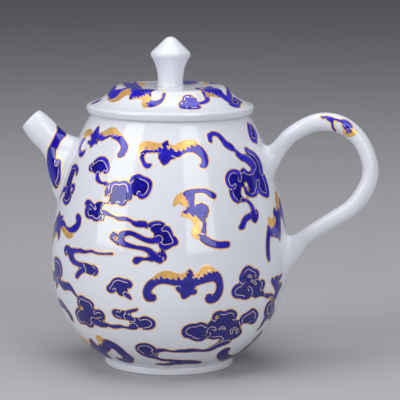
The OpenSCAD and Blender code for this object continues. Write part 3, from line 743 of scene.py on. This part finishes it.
def liquid_gold():
    """Fired liquid gold: a thin bright film, a little redder where it is thin,
    with fine brush lines and a soft burnish. The hair lines inside the clouds
    are so thin that the white shows through them."""
    material, tree, shader = new_material("fired gold", {"Metallic": 0.5, "IOR": 1.5})
    place = here(tree)
    pool = spread(tree, noise(tree, place, 420.0, 3.0, 0.6), 0.35, 0.65)
    gold = mixed(tree, pool, (0.90, 0.47, 0.13, 1), (1.0, 0.64, 0.22, 1))
    hairs = noise(tree, place, 1800.0, 2.0)
    bump = add(tree, "ShaderNodeBump", {"Strength": 0.12, "Distance": 0.0001, "Height": hairs})
    feed(tree, shader, {
        "Base Color": mixed(tree, mark(tree, "hair"), gold, (0.84, 0.70, 0.76, 1)),
        "Roughness": spread(tree, hairs, 0.3, 0.7, 0.26, 0.42), "Normal": bump.outputs[0]})
    return material


cobalt, gilt = cobalt_enamel(), liquid_gold()


def closed_up(field):
    """A distance field with its narrow gaps filled: the least value of each node
    and its eight neighbours, then the greatest of those. Where a gap is too
    narrow to hold two gold lines, it is pulled below zero."""
    narrow, ease, pull = 0.34, 0.1, 1.6
    steps = [(i, j) for i in (-1, 0, 1) for j in (-1, 0, 1) if i or j]
    least = field.copy()
    for step in steps:
        np.minimum(least, np.roll(field, step, axis=(0, 1)), out=least)
    most = least.copy()
    for step in steps:
        np.maximum(most, np.roll(least, step, axis=(0, 1)), out=most)
    fall = np.maximum(field - most, 0)
    return field - fall * (1 + pull * np.clip((narrow - most) / ease, 0, 1))


# In mm: how far light, dark and gold strokes spread past their brushed edge, and
# the cobalt under the gold outline; how far that outline runs out and in; half
# the dividing line, and how far inside the outline it stays; the depth and pitch
# of the teeth, and how far from a gold stroke they reach; the rise and the soft
# edge of either skin, and the width over which light turns into dark.
LIGHT_SPREAD, DARK_SPREAD, GOLD_SPREAD, UNDER_LINE = 0.12, 0.35, 0.25, 0.1
LINE_OUT, LINE_IN, HALF_SPLIT, SPLIT_IN = 0.38, 0.03, 0.17, 0.22
TOOTH_DEPTH, TOOTH_PITCH, BITE = 1.15, 2.0, 0.7
COBALT_RISE, COBALT_SOFT, GOLD_RISE, GOLD_SOFT, TONE_SOFT = 0.07, 0.4, 0.03, 0.14, 0.2


def painted(name, ground, fields, comb, body):
    """The two skins of a painted patch. Cobalt fills the light and dark strokes
    and floods the narrow gaps between them; gold takes a line round their
    outline, a finer one where a light stroke meets the dark, and the gold
    strokes, which bite into the cobalt in teeth spaced along the comb (mm)."""
    out = np.cross(np.roll(ground, -1, axis=1) - np.roll(ground, 1, axis=1),
                   np.gradient(ground, axis=0))
    out /= np.linalg.norm(out, axis=-1, keepdims=True) + 1e-12
    light, dark, gold = fields[0] - LIGHT_SPREAD, fields[1] - DARK_SPREAD, fields[2] - GOLD_SPREAD
    outline = closed_up(np.minimum(light, dark))
    depth = UNDER_LINE - outline
    lift = COBALT_RISE * eased(depth / COBALT_SOFT)
    # tone is 1 where a dark stroke lies; edge is the way to the nearest brushed edge
    tone = np.clip(0.5 - np.maximum(outline, -light) / TONE_SOFT, 0, 1)
    edge = np.minimum(depth, np.abs(light) + np.clip(0.5 + outline, 0, 0.5))
    skin("cobalt_" + name, ground, out, depth, np.zeros_like(lift), COBALT_RISE, COBALT_SOFT,
         {"tone": tone, "depth": depth, "edge": edge}, body, cobalt, None, "cobalt_enamel")
    line = np.minimum(LINE_OUT - outline, outline + LINE_IN)
    split = np.minimum(HALF_SPLIT - np.abs(light), -SPLIT_IN - outline)
    teeth = TOOTH_DEPTH * np.abs((comb / TOOTH_PITCH) % 1 * 2 - 1)
    bites = np.minimum(BITE - gold, np.minimum(outline + teeth, 0.05 - outline))
    wings = np.maximum(np.minimum(-gold, outline), bites)
    # hair marks the dividing lines, where the gold is thinner than on the outline
    hair = 0.8 * np.clip((split - np.maximum(line, wings)) / 0.1, 0, 1)
    skin("gold_" + name, ground, out, np.maximum(line, np.maximum(split, wings)), lift,
         GOLD_RISE, GOLD_SOFT, {"hair": hair}, body, gilt, None, "gilding")


# The body's skin as a painting ground: rows PITCH mm apart up the outline, and
# columns about as far apart round the belly.
PITCH, COLUMNS = 0.26, 1064
heights = np.linspace(3.0, 93.0, 4000)
steps = np.hypot(np.diff(heights), np.diff(body_radius(heights)))
rise = np.concatenate([[0], np.cumsum(steps)])
up = np.arange(0, rise[-1], PITCH)[:, None]
z = np.interp(up, rise, heights)
turns = np.arange(COLUMNS) * 360 / COLUMNS
t = np.radians(turns)
ground = np.stack([body_radius(z) * np.sin(t), -body_radius(z) * np.cos(t), z + 0 * t], -1)


def way_round(turn):
    """How far round the body each node lies from that turn, in mm."""
    return np.radians((turns - turn + 180) % 360 - 180) * body_radius(z)


# The back repeats the front's motifs. Each place: motif, turn, height, tilt and
# which way round.
FRONT = {"front_left": ["neck bat", "curled cloud", "round cloud", "knot and ribbon", "tall cloud",
                        "spout bat", "wavy ribbon", "tailed cloud", "loose ribbon", "cloud bank",
                        "small cloud", "foot bat"],
         "front_right": ["shoulder bat", "ringed cloud", "folded ribbon", "diving bat", "belly bat",
                         "long cloud bank", "curled foot cloud", "foot ribbon", "low curl",
                         "twin clouds", "cloud tower", "neck cloud", "handle bat"]}
patches = {name: [(motif, *MOTIFS[motif][:2], 0, 1) for motif in motifs]
           for name, motifs in FRONT.items()}
patches["back_left"] = [
    ("long cloud bank", 256, 12, 21, -1), ("cloud bank", 223, 18, 21, 1),
    ("handle bat", 255, 52, 2, -1), ("spout bat", 242, 42, -8, -1),
    ("curled foot cloud", 204, 14, 2, -1), ("tailed cloud", 226, 33, 9, -1),
    ("shoulder bat", 221, 86, -3, 1), ("neck bat", 215, 76, -6, 1), ("tall cloud", 227, 66, -1, -1),
    ("loose ribbon", 195, 22, 13, 1), ("ringed cloud", 189, 73, 9, -1),
    ("small cloud", 187, 29, 13, -1), ("belly bat", 187, 43, 2, -1),
    ("wavy ribbon", 211, 56, -7, -1), ("ringed cloud", 193, 83, 14, -1),
    ("neck cloud", 214, 41, 12, 1)]
patches["back_right"] = [
    ("cloud tower", 123, 72, -13, -1), ("foot bat", 102, 11, 0, 1), ("belly bat", 120, 47, 8, -1),
    ("twin clouds", 120, 31, 21, -1), ("folded ribbon", 139, 60, 0, -1),
    ("diving bat", 155, 74, 10, 1), ("foot ribbon", 144, 18, 5, 1), ("wavy ribbon", 147, 38, 20, 1),
    ("knot and ribbon", 178, 59, 23, -1), ("low curl", 141, 25, -21, -1),
    ("round cloud", 172, 72, 9, -1), ("curled cloud", 172, 86, 7, 1),
    ("ringed cloud", 171, 27, 21, 1), ("neck cloud", 157, 10, 18, -1)]

# Nothing is painted where the spout's root hides the body. The teeth's comb runs
# round the body and leans by COMB_LEAN.
SPOUT_TURN, ROOT_HALF_WIDE, ROOT_HALF_HIGH, COMB_LEAN = -90, 13.2, 14.5, 0.7
hidden = ((way_round(SPOUT_TURN) / ROOT_HALF_WIDE) ** 2 + ((z - SPOUT_Z) / ROOT_HALF_HIGH) ** 2) < 1
for name, motifs in patches.items():
    fields = np.full((3, *ground.shape[:2]), BARE)
    for motif, turn, level, tilt, way in motifs:
        x, y = way_round(turn), up - np.interp(level, heights, rise)
        c, s = np.cos(np.radians(tilt)), np.sin(np.radians(tilt))
        brush(fields, way * (x * c + y * s), y * c - x * s, MOTIFS[motif][2:])
    fields[:, hidden] = BARE
    painted(name, ground, fields, np.radians(turns) * body_radius(z) + COMB_LEAN * up, "pot")

# ---- cobalt and gold on the spout ---------------------------------------------
# A ribbon wound once round the neck of the spout, with a curl at its end, on
# both sides of the pot. The tip stays white.

SPOUT_RIBBON = ([[-25,94,8, -19,100,7, -9,97,6, -6,85,11, -14,75,10, -24,65,12, -35,57,12,
    -49,53,12, -63,54,9]], [[85,176,31, 67,164,30, 44,159,26, 25,153,20, 9,147,23, -4,142,25,
    -12,137,27, -21,130,32, -34,119,36, -43,107,48, -55,93,61, -66,79,58, -69,67,35, -69,59,18]],
    [])


def paint_tube(name, path, s, cols, swell, strokes):
    """Paints both flanks of a tube over the places s of its path. A stroke's
    across runs round the tube from the middle of the flank, and its up along the
    path from its first station, both in mm."""
    turn = np.arange(cols) * 2 * np.pi / cols
    plain = tube(path, s[:, None], 0, turn)
    ground = tube(path, s[:, None], -fillet(skin_depth(plain), swell), turn)
    stops = np.linspace(0, len(path) - 1, 3000)
    steps = np.hypot(*np.diff(along(path, stops)[:, :2], axis=0).T)
    up = np.interp(s, stops, np.concatenate([[0], np.cumsum(steps)]))[:, None] + 0 * turn
    radius = along(path, s)[:, 3:].sum(axis=1)[:, None] / 4
    fields = np.full((3, *up.shape), BARE)
    for way in (1, -1):
        around = ((way * turn - np.pi / 2 + np.pi) % (2 * np.pi) - np.pi) * radius
        brush(fields, around, up, strokes)
    fields[:, skin_depth(ground) < 0.3] = BARE
    painted(name, ground, fields, up, "pot")


paint_tube("spout", spout_path, np.linspace(1.0, 6.7, 130), 300, SPOUT_SWELL, SPOUT_RIBBON)

# ---- cobalt and gold on the handle --------------------------------------------
# A small moth-like knot where the handle turns over, with a ribbon tail across
# the strap and a broken ring below it, on both flanks.

HANDLE_KNOT = ([[-24,284,5, -21,292,9, -24,299,5], [-23,303,7, -19,315,9, -18,330,6, -18,345,8],
    [-17,308,13, -15,315,18, -8,319,8, 0,322,4, 9,325,7, 18,330,6, 30,340,9], [-18,348,8,
    -20,357,17, -18,369,21, -16,381,16, -15,389,8], [-3,363,5, -3,367,4], [3,375,8, 9,387,10,
    5,400,7, -6,406,5], [-6,379,3, -6,393,4]], [[-20,358,10, -18,370,14, -15,381,11]], [[-19,405,4,
    -7,412,4, 11,408,5, 23,393,6, 16,373,4]])

paint_tube("handle", handle_path, np.linspace(4.2, 7.2, 190), 96, HANDLE_SWELL, HANDLE_KNOT)

# ---- cobalt and gold on the lid -----------------------------------------------
# Bats and clouds in a ring on the dome, brushed with the lid on a wheel, so the
# strokes follow the ring. Their places are those of a sheet laid over the dome
# from its middle.

LID_MOTIFS = {
    "lid bat": ([[-212,-14,19, -213,-63,42, -207,-109,35, -194,-137,55, -180,-136,39, -164,-140,24,
     -148,-137,26, -134,-123,28], [-214,122,10, -196,98,26, -176,56,40, -154,8,48, -137,-47,50,
     -121,-110,38, -111,-166,22, -110,-192,25, -113,-208,19], [-152,104,8, -143,62,18, -131,16,26,
     -121,-40,28, -108,-104,32, -98,-172,34, -91,-195,12], [-83,-184,75, -68,-182,70, -56,-178,56,
     -47,-198,13, -42,-213,8, -40,-222,6], [-45,-235,5, -39,-246,9, -35,-259,21], [-46,-257,17,
     -33,-264,37, -18,-261,29, -5,-254,21, 4,-243,15, 10,-230,9, 11,-215,11]], [], [[-218,-129,10,
     -197,-167,25, -179,-173,43, -165,-166,45, -146,-162,42, -133,-166,39], [-101,-206,8,
     -84,-216,15, -67,-221,21, -58,-238,20, -58,-256,20, -54,-279,12], [-192,46,4, -186,62,23,
     -175,58,16], [-126,84,8, -117,50,20, -108,14,26, -104,-22,16]]),
    "lid drop": ([[-287,-107,19, -279,-93,33, -271,-85,21], [-48,-71,8, -40,-62,12, -32,-53,9]], [],
     []),
    "lid curl": ([[112,-197,5, 101,-198,6, 91,-204,6, 84,-215,6, 85,-226,6, 79,-239,6, 76,-254,6,
     81,-267,8, 88,-272,11, 104,-270,11, 119,-266,12, 133,-261,9, 145,-252,9, 151,-240,10],
     [99,-217,19, 112,-221,28, 122,-208,19], [94,-250,17, 106,-244,24, 121,-235,29, 135,-224,19],
     [121,-246,10, 132,-245,13, 141,-238,8], [140,-222,13, 155,-209,12, 166,-194,13, 169,-172,15,
     159,-163,16, 150,-158,9, 144,-153,11]], [], []),
    "lid moth": ([[128,111,26, 140,106,40, 151,122,35, 161,112,3], [146,-6,13, 159,-108,39,
     159,-141,11], [154,-112,40, 165,-99,61, 180,-96,68, 194,-95,43, 210,-95,29, 224,-93,37,
     237,-92,44, 247,-92,27], [242,-66,19, 234,-40,25, 224,-7,23, 213,20,19, 198,62,14],
     [138,-41,11, 121,-46,11], [108,-70,12, 128,-125,16, 144,-119,19]], [], [[119,64,14,
     115,136,14], [162,-154,6, 176,-143,8, 191,-127,8]]),
    "lid puff": ([[256,-112,18, 265,-125,26, 277,-111,25, 282,-70,7, 277,-20,19, 265,-10,16,
     255,-38,12]], [[258,-69,33, 267,-79,30]], []),
    "top drop": ([[22,192,14, 32,170,32, 42,138,48, 50,100,46, 56,70,28], [62,178,12, 66,150,24,
     68,118,24], [64,110,9, 76,104,9, 87,110,12]], [], []),
}

dome = lid_outline[np.argmax(lid_outline[:, 0]):][::-1]
reach = np.concatenate([[0], np.cumsum(np.hypot(*np.diff(dome, axis=0).T))])
out_along = np.arange(reach[-1] - 0.3, 3.0, -PITCH)[:, None]
t = np.radians(np.arange(720) * 0.5)
r, z = np.interp(out_along, reach, dome[:, 0]), np.interp(out_along, reach, dome[:, 1])
ground = np.stack([r * np.sin(t), -r * np.cos(t), z + 0 * t], -1)
fields = np.full((3, *ground.shape[:2]), BARE)
places = [(strokes, 0, 0, 1) for strokes in LID_MOTIFS.values()] + [
    (MOTIFS[motif][2:], turn, out, way) for motif, turn, out, way in (
        ("shoulder bat", 188, 24.5, 1), ("small cloud", 238, 24.5, -1),
        ("tailed cloud", 139, 23.5, 1))]
for strokes, turn, out, way in places:
    bearing = t - np.radians(turn)
    brush(fields, way * out_along * np.sin(bearing), out - out_along * np.cos(bearing), strokes)
painted("lid", ground, fields, out_along * t, "lid")

# ---- floor, lamps and camera --------------------------------------------------
# Plain matt pale floor, two tall soft lamps either side of the front, one broad
# soft lamp above, and an even pale surround.

material, tree, shader = new_material("pale floor", {"Roughness": 0.85})
feed(tree, shader, {"Base Color": mixed(tree, noise(tree, here(tree), 14.0, 4.0),
                                        (0.46, 0.46, 0.475, 1), (0.50, 0.50, 0.515, 1))})
floor_mesh = bpy.data.meshes.new("floor")
floor_mesh.from_pydata([(-3, -3, 0), (3, -3, 0), (3, 3, 0), (-3, 3, 0)], [], [(0, 1, 2, 3)])
floor_mesh.materials.append(material)
floor = bpy.data.objects.new("floor", floor_mesh)
bpy.context.scene.collection.objects.link(floor)

world = bpy.data.worlds.new("surround")
bpy.context.scene.world = world
world.use_nodes = True
feed(world.node_tree, world.node_tree.nodes["Background"],
     {"Color": (0.80, 0.83, 0.94, 1), "Strength": 0.15})


def face_along(piece, side, up, ahead):
    """Turns a lamp or camera to look ahead, with those two ways square to it."""
    piece.rotation_mode = "QUATERNION"
    turned_to = Matrix(np.column_stack([side, up, -ahead]).tolist())
    piece.rotation_quaternion = turned_to.to_quaternion()


def soft_lamp(name, place, aim, wide, high, watts):
    """A rectangular lamp at place (m), wide by high, whose face looks at aim."""
    lamp = bpy.data.lights.new(name, "AREA")
    lamp.shape, lamp.size, lamp.size_y, lamp.energy = "RECTANGLE", wide, high, watts
    holder = bpy.data.objects.new(name, lamp)
    bpy.context.scene.collection.objects.link(holder)
    holder.location = place
    away = np.array(aim, float) - place
    away /= np.linalg.norm(away)
    side = np.cross(away, (0, 0, 1.0))
    side /= np.linalg.norm(side)
    face_along(holder, side, np.cross(side, away), away)


soft_lamp("left lamp", (-0.728, -0.611, 0.66), (0, 0, 0.66), 0.52, 1.2, 6.8)
soft_lamp("right lamp", (0.598, -0.738, 0.66), (0, 0, 0.66), 0.48, 1.2, 5.3)
soft_lamp("top lamp", (0.03, -0.05, 1.1), (0, 0, 0.06), 1.0, 1.0, 6.5)

# The camera's distance from the axis and its height (m); it stands a little to
# the handle's side and looks slightly down.
CAMERA_AWAY, CAMERA_HIGH = 0.780, 0.182509
turn, pitch, yaw, roll = np.radians(9.0), 0.15397, 0.01438, 0.0072
ahead = np.array([np.sin(yaw - turn) * np.cos(pitch), np.cos(yaw - turn) * np.cos(pitch),
                  -np.sin(pitch)])
side = np.cross(ahead, (0, 0, 1.0))
side /= np.linalg.norm(side)
up = np.cross(side, ahead)
side, up = side * np.cos(roll) + up * np.sin(roll), -side * np.sin(roll) + up * np.cos(roll)
lens = bpy.data.cameras.new("camera")
lens.lens, lens.sensor_width, lens.clip_start, lens.clip_end = 190.67, 36.0, 0.02, 20.0
camera = bpy.data.objects.new("camera", lens)
bpy.context.scene.collection.objects.link(camera)
camera.location = (CAMERA_AWAY * np.sin(turn), -CAMERA_AWAY * np.cos(turn), CAMERA_HIGH)
face_along(camera, side, up, ahead)
bpy.context.scene.camera = camera
bpy.context.scene.view_settings.view_transform = "Standard"
